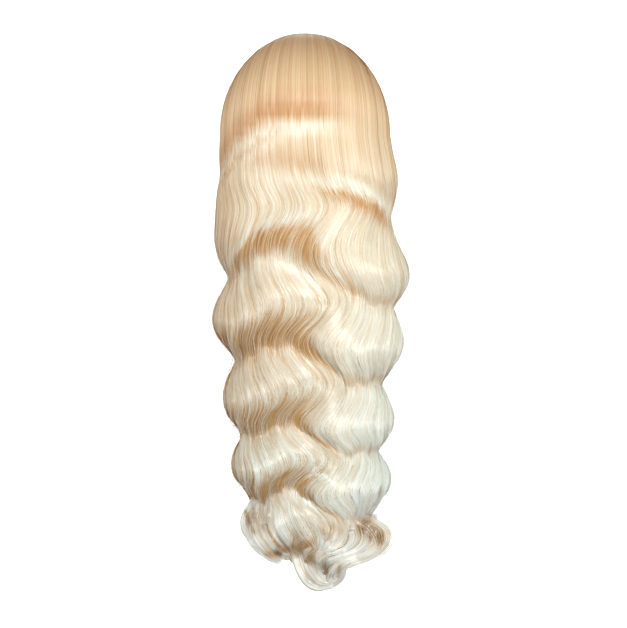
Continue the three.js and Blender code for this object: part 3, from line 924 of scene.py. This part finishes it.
def outer_courses(azimuth, sunk, middle, bundle_lag, bundle_sink):
    """What hanging_path asks for, for strands that gather, wander and turn under at their tips."""
    count = len(azimuth)
    last_drop = strand_length(azimuth) + TIP_OVER - dice.gamma(TIP_SHAPE, TIP_SPREAD, count)
    drop = last_drop[:, None] * np.linspace(0, 1, FALL_STEPS + 1)[None]
    loosened = smooth_step(drop, *LOOSENED)
    gather = GATHER * smooth_step(drop, *GATHERED)
    way = azimuth[:, None] + (middle - azimuth)[:, None] * gather
    pace, start = dice.uniform(*WANDER_PACE, (count, 1)), dice.uniform(0, 2 * np.pi, (count, 1))
    way = way + WANDER * loosened * np.sin(pace * drop + start)
    off = (azimuth - middle) / (BUNDLE_ANGLE / 2)
    inside = sunk[:, None] + loosened * (BUNDLE_ROUND * off**2 + BUNDLE_SINK * bundle_sink)[:, None]
    inside = inside + FURROW_SINK * lock_ridge(way, drop / LONGEST_DROP)
    near_tip = np.clip(1 - (last_drop[:, None] - drop) / TUCK_LENGTH, 0, 1)
    return {
        "azimuth": way,
        "drop": drop,
        "inside": inside + read(TIP_HOOK, "tuck", azimuth)[:, None] * near_tip**2,
        "lag": (BUNDLE_LAG * bundle_lag + dice.normal(0, STRAND_LAG, count))[:, None] * loosened,
        "sway": 1 + dice.normal(0, SWAY_SPREAD, (count, 1)),
        "hook": np.radians(read(TIP_HOOK, "turn", azimuth) + dice.normal(0, HOOK_SPREAD, count))[:, None],
        "hook_length": read(TIP_HOOK, "length", azimuth)[:, None],
    }


def outer_facing(paths, beside):
    """The way out of the hair: that of the plain head near the roots, and that of the waves below."""
    slanted = unit(np.cross(np.gradient(paths, axis=1), beside - paths))
    radii = np.array([HEAD_HALF_WIDTH, HEAD_HALF_LENGTH, HEAD_RISE])
    plain = unit((paths + np.array([0, 0, HEAD_RISE])) / radii**2)
    return lerp(plain, slanted, smooth_step(np.arange(paths.shape[1]), *PLAIN_STEPS)[None, :, None])


print("strands at the back end at a drop of", round(float(strand_length(np.array(0.0)))), "mm")

# %% [markdown]
# Shades of the outer strands
#
# Single strands differ in tone, and a few are much darker and thinner than the rest. Bundles and broader
# streaks differ in how golden they are. The left side gets golden painted shade and the right side a paler
# painted highlight, and low down the hair is more golden except on the right. Each strand carries the
# painted bands a little up or down, so that no band ends in a hard line.

# %% Outer shades
STREAK, STREAK_MEAN = 0.16, 0.1  # how much bundles and strands differ in how golden they are
BROAD_STREAK, PALE_STREAK = 0.32, 0.2  # how golden and how pale the broad streaks are
# The first is painted highlight on the right side, the second painted shade on the left side.
RIGHT_PAINTED_HIGHLIGHT, LEFT_PAINTED_SHADE, LOW_GOLDEN = 0.2, 0.26, 0.12  # how the two sides differ down the hair
RIGHT_FROM, LEFT_TO = (10, 50), (-75, -30)  # the azimuths where the right side starts and the left one ends


def broad_streaks(azimuth, drop, along):
    """Streaks a few strands wide that come and go along the hair, from -1 to 1 where they are full."""
    drift = 2.2 * np.sin(0.011 * drop + 0.2 * azimuth)
    streaks = np.sin(1.9 * azimuth + drift) * np.sin(0.7 * azimuth - 0.016 * drop)
    return streaks * lerp(0.4, 1, smooth_step(along, 0.35, 0.55)) * smooth_step(along, 0.25, 0.35)


def outer_shades(azimuth, band_azimuth, band_drop, along, bundle_sink):
    """Paler tone with its painted highlight, golden with its painted shade, and the painted pale bands."""
    golden, pale = painted_bands(band_azimuth, band_drop)
    streak = STREAK_MEAN + STREAK * (bundle_sink + dice.normal(0, 1, len(azimuth)))[:, None]
    broad = broad_streaks(azimuth[:, None], band_drop, along)
    on_right = smooth_step(azimuth, *RIGHT_FROM)[:, None]
    on_left = 1 - smooth_step(azimuth, *LEFT_TO)[:, None]
    golden = golden + np.maximum(streak, 0) * lerp(1, 0.5, on_right) * smooth_step(along, 0.3, 0.45)
    golden = golden + BROAD_STREAK * lerp(1, 0.6, on_right) * np.maximum(broad, 0)
    # Painted shade over the left side.
    golden = golden + LEFT_PAINTED_SHADE * on_left * smooth_step(along, 0.3, 0.38)
    golden = golden + LOW_GOLDEN * (1 - on_right) * smooth_step(along, 0.55, 0.75)
    # Random broad streaks, and painted highlight over the right side.
    paler = PALE_STREAK * np.maximum(-broad, 0) + RIGHT_PAINTED_HIGHLIGHT * on_right * smooth_step(along, 0.35, 0.6)
    return paler, golden, pale


# %% [markdown]
# Strands over the outside
#
# Now the courses and the shades come together. A path over the crown is joined to one below the girth, and
# the same path a small step further round the head shows which way is out. The four falls get their share
# of the strands by their angle.

# %% Outer strands
OUTER_STRANDS = 3000
OUTER_WIDTHS, OUTER_TWIST = (0.45, 0.95), 0.28
OUTER_TONE, TONE_SPREAD, BUNDLE_TONE = 0.62, 0.14, 0.06
DARK_SHARE, DARK_TONE, DARK_WIDTH = 0.1, 0.35, 0.6  # how many strands are dark, how dark and how thin
LAYER_TOP, LAYER_DEPTH = 0.25, 1.7  # how deep in the hair the strands lie
BAND_JITTER = 2  # how far up or down a strand carries the bands
STEP_BESIDE = 0.5


def outer_strands(low, high, count):
    azimuth = np.sort(dice.uniform(low, high, count))
    level = dice.uniform(0, 1, count) ** 1.3
    middle, (bundle_tone, bundle_lag, bundle_sink) = in_bundles(azimuth)
    sunk = LAYER_TOP + LAYER_DEPTH * level
    strands = outer_courses(azimuth, sunk, middle, bundle_lag, bundle_sink)
    crown, crown_azimuth, crown_drop = crown_path(azimuth, sunk)
    crown_beside, *_ = crown_path(azimuth + STEP_BESIDE, sunk)
    paths = np.concatenate([crown, hanging_path(strands)], axis=1)
    beside = np.concatenate([crown_beside, hanging_path(strands, STEP_BESIDE)], axis=1)
    along = length_share(paths)
    dark = (dice.uniform(0, 1, count) < DARK_SHARE)[:, None]
    width = dice.uniform(*OUTER_WIDTHS, (count, 1)) * np.where(dark, DARK_WIDTH, 1) * taper(along)
    twist = dice.normal(0, OUTER_TWIST, (count, 1)) + 0.1 * np.sin(along * dice.uniform(6, 22, (count, 1)))
    tone = OUTER_TONE + BUNDLE_TONE * bundle_tone[:, None] + dice.normal(0, TONE_SPREAD, (count, 1))
    jitter = BAND_JITTER * (bundle_lag + dice.normal(0, 1, count))[:, None]
    band_azimuth = np.concatenate([crown_azimuth, strands["azimuth"]], 1)
    band_drop = np.concatenate([crown_drop, strands["drop"]], 1) + jitter
    paler, golden, pale = outer_shades(azimuth, band_azimuth, band_drop, along, bundle_sink)
    hollow_painted_dark, hollow_painted_golden = painted_hollow_shades(paths)
    # The tone gains the pale streaks and the painted highlight, and loses the painted shade of the hollows.
    tone = tone - DARK_TONE * dark + paler - hollow_painted_dark
    outs, bands = outer_facing(paths, beside), (golden + hollow_painted_golden, pale)
    return ribbon_mesh(paths, outs, width, twist, tone, level[:, None], along, bands)


for node, (low, high, _) in FALLS.items():
    count = round(OUTER_STRANDS * (high - low) / (2 * FRONT_AZIMUTH))
    add_strands(node.replace("hair", "strands"), outer_strands(low, high, count))

# %% [markdown]
# Where the locks of the hem go
#
# At the back the hair ends in separate locks: a rounded one on the left, a lobe on the right whose hair
# turns back towards the middle, and a ring curl at the lowest tip. A band of hair runs from the lobe into
# the ring, and plain hair behind them closes the gaps. Guide lines say where all these go. Each is a short
# list of points across and down the back.

# %% Hem guides
HEM_GUIDES = (
    ((-50, 379), (-62, 398), (-66, 408), (-65, 419), (-58, 430), (-49, 441), (-40, 446), (-32, 451),
     (-25, 449)),
    ((-43, 374), (-54, 396), (-57, 410), (-54, 423), (-45, 433), (-36, 441), (-27, 446), (-20, 444)),
    ((-34, 370), (-43, 391), (-44, 407), (-36, 421), (-27, 434), (-20, 440), (-12, 437)),
    ((-23, 367), (-29, 387), (-27, 404), (-18, 420), (-10, 433), (-4, 437), (3, 431)),
    ((-12, 363), (-15, 382), (-9, 400), (0, 416), (8, 426), (10, 435), (3, 441)),
    ((0, 366), (4, 385), (14, 401), (21, 415), (18, 427), (8, 434), (-2, 440)),
    ((14, 371), (24, 389), (32, 405), (36, 418), (29, 427), (18, 432), (5, 436)),
    ((26, 377), (40, 394), (49, 408), (53, 419), (47, 427), (35, 431), (21, 434), (10, 441)),
    ((37, 386), (50, 401), (62, 413), (68, 423), (64, 430), (54, 433), (41, 435), (28, 439), (18, 447),
     (14, 457)),
    ((49, 391), (64, 404), (80, 414), (88, 422), (88, 429), (83, 438), (71, 445), (56, 446), (44, 450),
     (37, 457)),
)
RING_GUIDES = (
    ((-17, 420), (-12, 437), (-8, 450), (-1, 463), (10, 472), (21, 475), (34, 474), (41, 464), (42, 452),
     (37, 443)),
    ((-2, 419), (0, 439), (6, 455), (16, 467), (27, 470), (36, 464), (39, 454), (35, 446)),
    ((12, 420), (12, 440), (15, 455), (22, 464), (30, 463), (34, 456), (31, 450)),
)
BAND_GUIDES = (
    ((47, 398), (62, 411), (73, 423), (76, 430), (69, 437), (58, 437), (45, 439), (34, 444), (26, 454),
     (24, 464), (30, 470), (37, 466), (40, 455), (39, 449)),
    ((52, 397), (67, 409), (79, 420), (82, 430), (76, 440), (62, 441), (49, 443), (39, 449), (32, 457),
     (30, 464), (34, 467), (38, 462), (38, 455), (36, 451)),
)
BACKING_GUIDES = (
    ((-54, 388), (-60, 404), (-54, 420), (-42, 435), (-30, 447)),
    ((-42, 385), (-42, 405), (-34, 424), (-18, 447)),
    ((-26, 385), (-24, 408), (-14, 430), (0, 452)),
    ((-8, 390), (-4, 420), (6, 445), (18, 462)),
    ((10, 390), (14, 420), (22, 445), (30, 461)),
    ((28, 390), (32, 415), (36, 435), (37, 452)),
    ((46, 390), (58, 408), (66, 422), (60, 434)),
)
print("guides along the hem:", sum(map(len, (HEM_GUIDES, RING_GUIDES, BAND_GUIDES, BACKING_GUIDES))))

# %% [markdown]
# From points to smooth guides
#
# A lock has to grow out of the hair above it. So the points of a guide are joined by a smooth curve with
# even steps, and a run-up that follows the waves is put in front of it. A second helper finds the point of
# the hair's back at a place across and down.

# %% Guide lines
LOCK_STEPS = 44
LOCK_RISE, RISE_STEPS = 120, 24  # how far up into the waves a lock's hair runs
RISE_SINK = 5  # how deep in the hair the run-up starts
GUIDE_SMOOTHING = 4
LOCK_LEAN = 0.6  # how far a lock at the side faces the side


def guide_line(points):
    """A smooth line of evenly spaced points across and down the back, with a run-up through the waves."""
    points = np.array(points, dtype=float)
    reach = np.concatenate([[0], np.cumsum(np.linalg.norm(np.diff(points, axis=0), axis=1))])
    line = table("reach x drop", *[(r, *p) for r, p in zip(reach, points)])
    place = np.linspace(0, reach[-1], LOCK_STEPS)
    x, drop = read(line, "x", place), read(line, "drop", place)
    half_width = read(FALL_OUTLINE, "half_width", drop[0])
    from_axis = x[0] - read(FALL_OUTLINE, "shift_x", drop[0])
    azimuth = 0.0
    for _ in range(6):
        outward, sideways = wave(azimuth, drop[0])
        sine = np.clip(from_axis / (half_width + outward), -0.98, 0.98)
        azimuth = np.degrees(np.arcsin(sine) - sideways / half_width)
    drop_above = drop[0] - np.linspace(LOCK_RISE, 0, RISE_STEPS, endpoint=False)
    outward, sideways = wave(azimuth, drop_above)
    above = curtain_point(azimuth, drop_above, outward - np.linspace(RISE_SINK, 0, RISE_STEPS), sideways)
    x, drop = np.concatenate([above[:, 0], x]), np.concatenate([drop_above, drop])
    for _ in range(GUIDE_SMOOTHING):
        x[1:-1] = (x[:-2] + 2 * x[1:-1] + x[2:]) / 4
        drop[1:-1] = (drop[:-2] + 2 * drop[1:-1] + drop[2:]) / 4
    return np.stack([x, drop], -1)


def back_point(x, drop, inside):
    """The point of the hair's back at a place across and a drop, the way out there, and its azimuth."""
    half_width, half_depth = read(FALL_OUTLINE, "half_width", drop), read(FALL_OUTLINE, "half_depth", drop)
    from_axis = x - read(FALL_OUTLINE, "shift_x", drop)
    azimuth = np.degrees(np.arcsin(np.clip(from_axis / half_width, -0.99, 0.99)))
    outward, _ = wave(azimuth, drop)
    sine = np.clip(from_axis / (half_width + outward), -0.97, 0.97)
    cosine = np.sqrt(1 - sine**2)
    y = read(FALL_OUTLINE, "shift_y", drop) - (half_depth + outward - inside) * cosine
    lean = LOCK_LEAN * sine
    outs = np.stack([lean, -np.sqrt(1 - lean**2), 0 * lean], -1)
    return np.stack([x, y, -HEAD_RISE - drop], -1), outs, azimuth


print("points of a lock's strand:", RISE_STEPS, "on the run-up and", LOCK_STEPS, "along the guide")

# %% [markdown]
# The locks along the hem
#
# Every strand of a lock runs between two neighbouring guides, mostly close to one of them, which makes the
# locks round. Along the run-up it takes the painted bands of the waves, and further down it takes more
# golden painted shade the deeper it lies. The hair behind the locks is broad and painted darker, as it lies
# in their shade.

# %% Hem locks
LOCK_PULL = 0.1  # how strongly strands gather at the guides
LOCK_STRAY, LOCK_CUT = 0.9, 0.02  # how far strands stray from their lines, and how uneven they end
LOCK_ROUND, LOCK_ROUNDNESS = 0.8, 0.45  # how far a lock's sides fall back, and turn aside
ROOT_SINK, TIP_SINK = 3, 2.5
LOCK_WIDTHS, LOCK_TWIST = (0.6, 1.2), 0.25
LOCK_TONE, LOCK_DARK_TONE = 0.7, 0.4
# Painted shade on the deepest strands and on the sides of the locks.
LOCK_PAINTED_SHADE, LOCK_STREAK = 0.55, 0.08  # how golden the deepest strands are, and how golden all are
LOCK_ALONG = 0.66  # where on the way from root to tip the locks' colours start


def lock_courses(guides, count):
    """Lines between the guides, how far each lies from the nearest guide, and the share of its run."""
    lines = np.stack([guide_line(points) for points in guides])
    place = np.sort(dice.uniform(-0.35, len(guides) - 0.65, count))
    near = np.clip(np.floor(place), 0, len(guides) - 2).astype(int)
    share = place - near
    share = (share - LOCK_PULL * np.sin(2 * np.pi * share))[:, None, None]
    flat = lerp(lines[near], lines[near + 1], share)
    run = np.linspace(0, 1, flat.shape[1])[None]
    slope = unit(np.gradient(flat, axis=1))
    stray = dice.normal(0, LOCK_STRAY, (count, 1)) * lerp(1, 0.7, run)
    flat = flat + stray[..., None] * np.stack([slope[..., 1], -slope[..., 0]], -1)
    cut = 1 - dice.gamma(TIP_SHAPE, LOCK_CUT, count)
    steps = np.arange(flat.shape[1])
    shorter = [[np.interp(steps * c, steps, line[:, i]) for i in (0, 1)] for line, c in zip(flat, cut)]
    return np.moveaxis(np.stack(shorter), 1, -1), 2 * (place - np.round(place))[:, None], run


def lock_strands(guides, count, sink, thickness, broad=1.0, tip=0.45, darker=0.0):
    flat, off, run = lock_courses(guides, count)
    level = dice.uniform(0, 1, (count, 1)) ** 1.5
    inside = sink + thickness * level + LOCK_ROUND * off**2
    inside = inside + ROOT_SINK * (1 - smooth_step(run, 0.1, 0.35)) + TIP_SINK * smooth_step(run, 0.8, 1)
    paths, outs, azimuth = back_point(flat[..., 0], flat[..., 1], inside)
    slope = unit(np.gradient(flat, axis=1))
    across = np.stack([slope[..., 1], 0 * slope[..., 1], slope[..., 0]], -1)
    outs = unit(outs + LOCK_ROUNDNESS * off[..., None] * across)
    share = length_share(paths)
    dark = dice.uniform(0, 1, (count, 1)) < DARK_SHARE
    width = broad * dice.uniform(*LOCK_WIDTHS, (count, 1)) * np.where(dark, DARK_WIDTH, 1)
    width = width * taper(share, root=0.5, tip=tip)
    twist = dice.normal(0, LOCK_TWIST, (count, 1)) + 0 * run
    tone = LOCK_TONE + dice.normal(0, TONE_SPREAD, (count, 1)) - LOCK_DARK_TONE * dark - darker
    golden, pale = painted_bands(azimuth, flat[..., 1])
    fade = 1 - smooth_step(run, 0.35, 0.6)
    golden = golden * fade + LOCK_PAINTED_SHADE * (1 - fade) * np.clip(level + 0.3 * off**2, 0, 1)
    golden = golden + np.maximum(LOCK_STREAK + STREAK * dice.normal(0, 1, (count, 1)), 0)
    hollow_painted_dark, hollow_painted_golden = painted_hollow_shades(paths)
    along, bands = lerp(LOCK_ALONG, 1, share), (golden + hollow_painted_golden, pale * fade)
    return ribbon_mesh(paths, outs, width, twist, tone - hollow_painted_dark, level, along, bands)


add_strands("hem_backing", lock_strands(
    BACKING_GUIDES, count=340, sink=6, thickness=3, broad=2.6, tip=0.9, darker=0.25))
add_strands("hem_locks", lock_strands(HEM_GUIDES, count=1150, sink=0.3, thickness=5))
add_strands("ring_curl", lock_strands(RING_GUIDES, count=320, sink=1.5, thickness=4))
add_strands("tip_band", lock_strands(BAND_GUIDES, count=140, sink=-0.3, thickness=2))

# %% [markdown]
# The inside, the front edges and loose hairs
#
# From the front one looks at the inner face of the hanging hair and at the thickness of its front edges.
# Fewer and wider strands are enough there. A few thin hairs stand off the outside, as they do on any wig.

# %% Inner, edge and loose strands
INNER_STRANDS, EDGE_STRANDS, LOOSE_HAIRS = 640, 80, 220
INNER_STEPS = 46
INNER_TOP = 0.004  # share of the drop at which these strands start
INNER_LAG, INNER_TWIST, INNER_TONE = 0.01, 0.2, 0.6
STRAY_PACE = 0.014
LOOSE_ROOT, LOOSE_HEIGHTS = 1.5, (0.5, 4.0)  # how deep loose hairs start, and how far off they stand
LOOSE_FROM = (40, 160)  # the drops between which they rise


def hanging_strands(azimuth, inside_at, facing, width, golden, stray=0.0):
    """Strands from the girth to the hem, at a depth inside the curtain that depends on their place."""
    count = len(azimuth)
    last_drop = strand_length(azimuth) - dice.gamma(TIP_SHAPE, TIP_SPREAD, count)
    drop = last_drop[:, None] * np.linspace(INNER_TOP, 1, INNER_STEPS)[None]
    way = azimuth[:, None] + stray * np.sin(STRAY_PACE * drop + dice.uniform(0, 2 * np.pi, (count, 1)))
    strands = {
        "azimuth": way,
        "drop": drop,
        "inside": inside_at(way, drop),
        "lag": dice.normal(0, INNER_LAG, (count, 1)) * smooth_step(drop, *LOOSENED),
        "sway": 1,
        "hook": 0,
        "hook_length": 1,
    }
    paths = hanging_path(strands)
    beside = hanging_path(strands, STEP_BESIDE) - paths
    share = length_share(paths)
    widths = dice.uniform(*width, (count, 1)) * taper(share)
    twist = dice.normal(0, INNER_TWIST, (count, 1)) + 0 * share
    tone = INNER_TONE + dice.normal(0, TONE_SPREAD, (count, 1))
    level = dice.uniform(0, 1, (count, 1))
    outs = unit(facing(np.gradient(paths, axis=1), beside))
    bands = (golden + 0 * share, 0 * share)
    return ribbon_mesh(paths, outs, widths, twist, tone, level, lerp(GIRTH_ALONG, 1, share), bands)


def hair_depth(azimuth, drop):
    return read(FALL_DEPTH, "depth", drop / read(HEM, "drop", azimuth))


def inner_face(azimuth, drop):
    outward, _ = wave(azimuth, drop)
    return outward * (1 - INNER_WAVE) + hair_depth(azimuth, drop) - crease_depth(azimuth, drop) - 0.2


def through_edge(azimuth, drop):
    return np.linspace(0.03, 0.97, len(azimuth))[:, None] * hair_depth(azimuth, drop)


def standing_off(azimuth, drop):
    height = dice.uniform(*LOOSE_HEIGHTS, (len(azimuth), 1))
    return lerp(LOOSE_ROOT, -height, smooth_step(drop, *LOOSE_FROM)) - crease_depth(azimuth, drop)


# The last number given to each kind says how golden it is painted; on the inside face it is painted shade.
around = dice.uniform(-FRONT_AZIMUTH, FRONT_AZIMUTH, INNER_STRANDS)
add_strands("inner_strands", hanging_strands(
    around, inner_face, lambda down, beside: -np.cross(down, beside), (0.9, 1.6), 0.45))
for side, name in ((-1, "left_edge_strands"), (1, "right_edge_strands")):
    edge = np.full(EDGE_STRANDS, side * (FRONT_AZIMUTH + 0.2))
    add_strands(name, hanging_strands(
        edge, through_edge, lambda down, beside, side=side: side * beside, (0.6, 1.1), 0.2))
around = dice.uniform(-FRONT_AZIMUTH, FRONT_AZIMUTH, LOOSE_HAIRS)
add_strands("loose_hairs", hanging_strands(
    around, standing_off, lambda down, beside: np.cross(down, beside), (0.25, 0.45), 0.15, stray=2.5))

# %% [markdown]
# Light
#
# The wig is lit softly from above, so the upper side of each wave shines. Two more soft lamps, one at each
# side, keep its edges bright, as in a studio. A fourth lamp is only for the sheet behind the wig, and a dim
# white sky fills the shade.

# %% Lights
AIM = Vector((0.0091, 0, -0.290))
SWEEP_AIM = Vector((0, 8.0, -0.8))
SKY_STRENGTH = 0.4


def aim_at(thing, target):
    thing.rotation_euler = (target - thing.location).to_track_quat("-Z", "Y").to_euler()


def area_light(name, place, target, size, power):
    lamp = bpy.data.lights.new(name, "AREA")
    lamp.shape, lamp.size, lamp.energy = "DISK", size, power
    light = bpy.data.objects.new(name, lamp)
    light.location = place
    bpy.context.scene.collection.objects.link(light)
    aim_at(light, target)


area_light("key_light", (0.15, -1.7, 1.05), AIM, size=1.0, power=35)
area_light("left_light", (-1.5, -0.7, -0.1), AIM, size=1.0, power=12)
area_light("right_light", (1.45, -0.9, -0.5), AIM, size=1.0, power=16)
area_light("sweep_light", (0, 4.0, 3.0), SWEEP_AIM, size=5.0, power=480)

world = bpy.data.worlds.new("studio")
world.use_nodes = True
world.node_tree.nodes["Background"].inputs["Color"].default_value = (1, 1, 1, 1)
world.node_tree.nodes["Background"].inputs["Strength"].default_value = SKY_STRENGTH
bpy.context.scene.world = world
print("lamps:", len(bpy.data.lights))

# %% [markdown]
# The sheet behind the wig
#
# A pale sheet runs along the floor and sweeps up behind the wig in a quarter round, so that no edge shows.
# It lies far enough below and behind to catch no shadow.

# %% Sweep
FLOOR_DROP, FLOOR_FRONT = 1.7, -12.0
SWEEP_START, SWEEP_RADIUS, SWEEP_HALF_WIDTH, SWEEP_TOP = 6.0, 3.0, 12.0, 9.0

profile = [(y, -FLOOR_DROP) for y in (FLOOR_FRONT, SWEEP_START)]
profile += [(SWEEP_START + SWEEP_RADIUS * math.sin(a), SWEEP_RADIUS * (1 - math.cos(a)) - FLOOR_DROP)
            for a in np.linspace(0.1, math.pi / 2, 14)]
profile += [(SWEEP_START + SWEEP_RADIUS, SWEEP_TOP)]
sweep_mesh = bpy.data.meshes.new("floor")
sweep_mesh.from_pydata(
    [(side * SWEEP_HALF_WIDTH, y, z) for y, z in profile for side in (-1, 1)],
    [],
    [(2 * i, 2 * i + 1, 2 * i + 3, 2 * i + 2) for i in range(len(profile) - 1)],
)
sweep_mesh.polygons.foreach_set("use_smooth", [True] * len(sweep_mesh.polygons))
floor = bpy.data.objects.new("floor", sweep_mesh)
bpy.context.scene.collection.objects.link(floor)
pale, _, pale_shader = new_material("pale_floor")
pale_shader.inputs["Base Color"].default_value = (0.9, 0.9, 0.9, 1)
pale_shader.inputs["Roughness"].default_value = 0.8
sweep_mesh.materials.append(pale)
floor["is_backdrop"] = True
print("sweep faces:", len(sweep_mesh.polygons))

# %% [markdown]
# Camera
#
# The wig is seen from the back, a little from above. The lens follows from the distance and from the width
# of hair that one pixel shows. The plain view transform keeps the white of the sheet white.

# %% Camera
PHOTO_WIDTH, PHOTO_HEIGHT = 627, 628
MM_PER_PIXEL = 1.075
CAMERA_DISTANCE = 2.0
CAMERA_ELEVATION = 5
SENSOR = 36

bpy.context.scene.view_settings.view_transform = "Standard"
camera_data = bpy.data.cameras.new("camera")
camera_data.sensor_width = SENSOR
camera_data.lens = SENSOR * CAMERA_DISTANCE / (max(PHOTO_WIDTH, PHOTO_HEIGHT) * MM_PER_PIXEL * MM)
camera = bpy.data.objects.new("camera", camera_data)
tilt = math.radians(CAMERA_ELEVATION)
camera.location = AIM + CAMERA_DISTANCE * Vector((0, -math.cos(tilt), math.sin(tilt)))
bpy.context.scene.collection.objects.link(camera)
aim_at(camera, AIM)
bpy.context.scene.camera = camera
print("lens:", round(camera_data.lens, 1), "mm")

# %% [markdown]
# Sizes
#
# The dressed wig keeps the model's size, apart from a few millimetres by which strands stand out of its box.
# The box of the dressed wig is printed.

# %% Finish
low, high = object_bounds()
print("visual box:", [round(v, 4) for v in (*low, *high)])
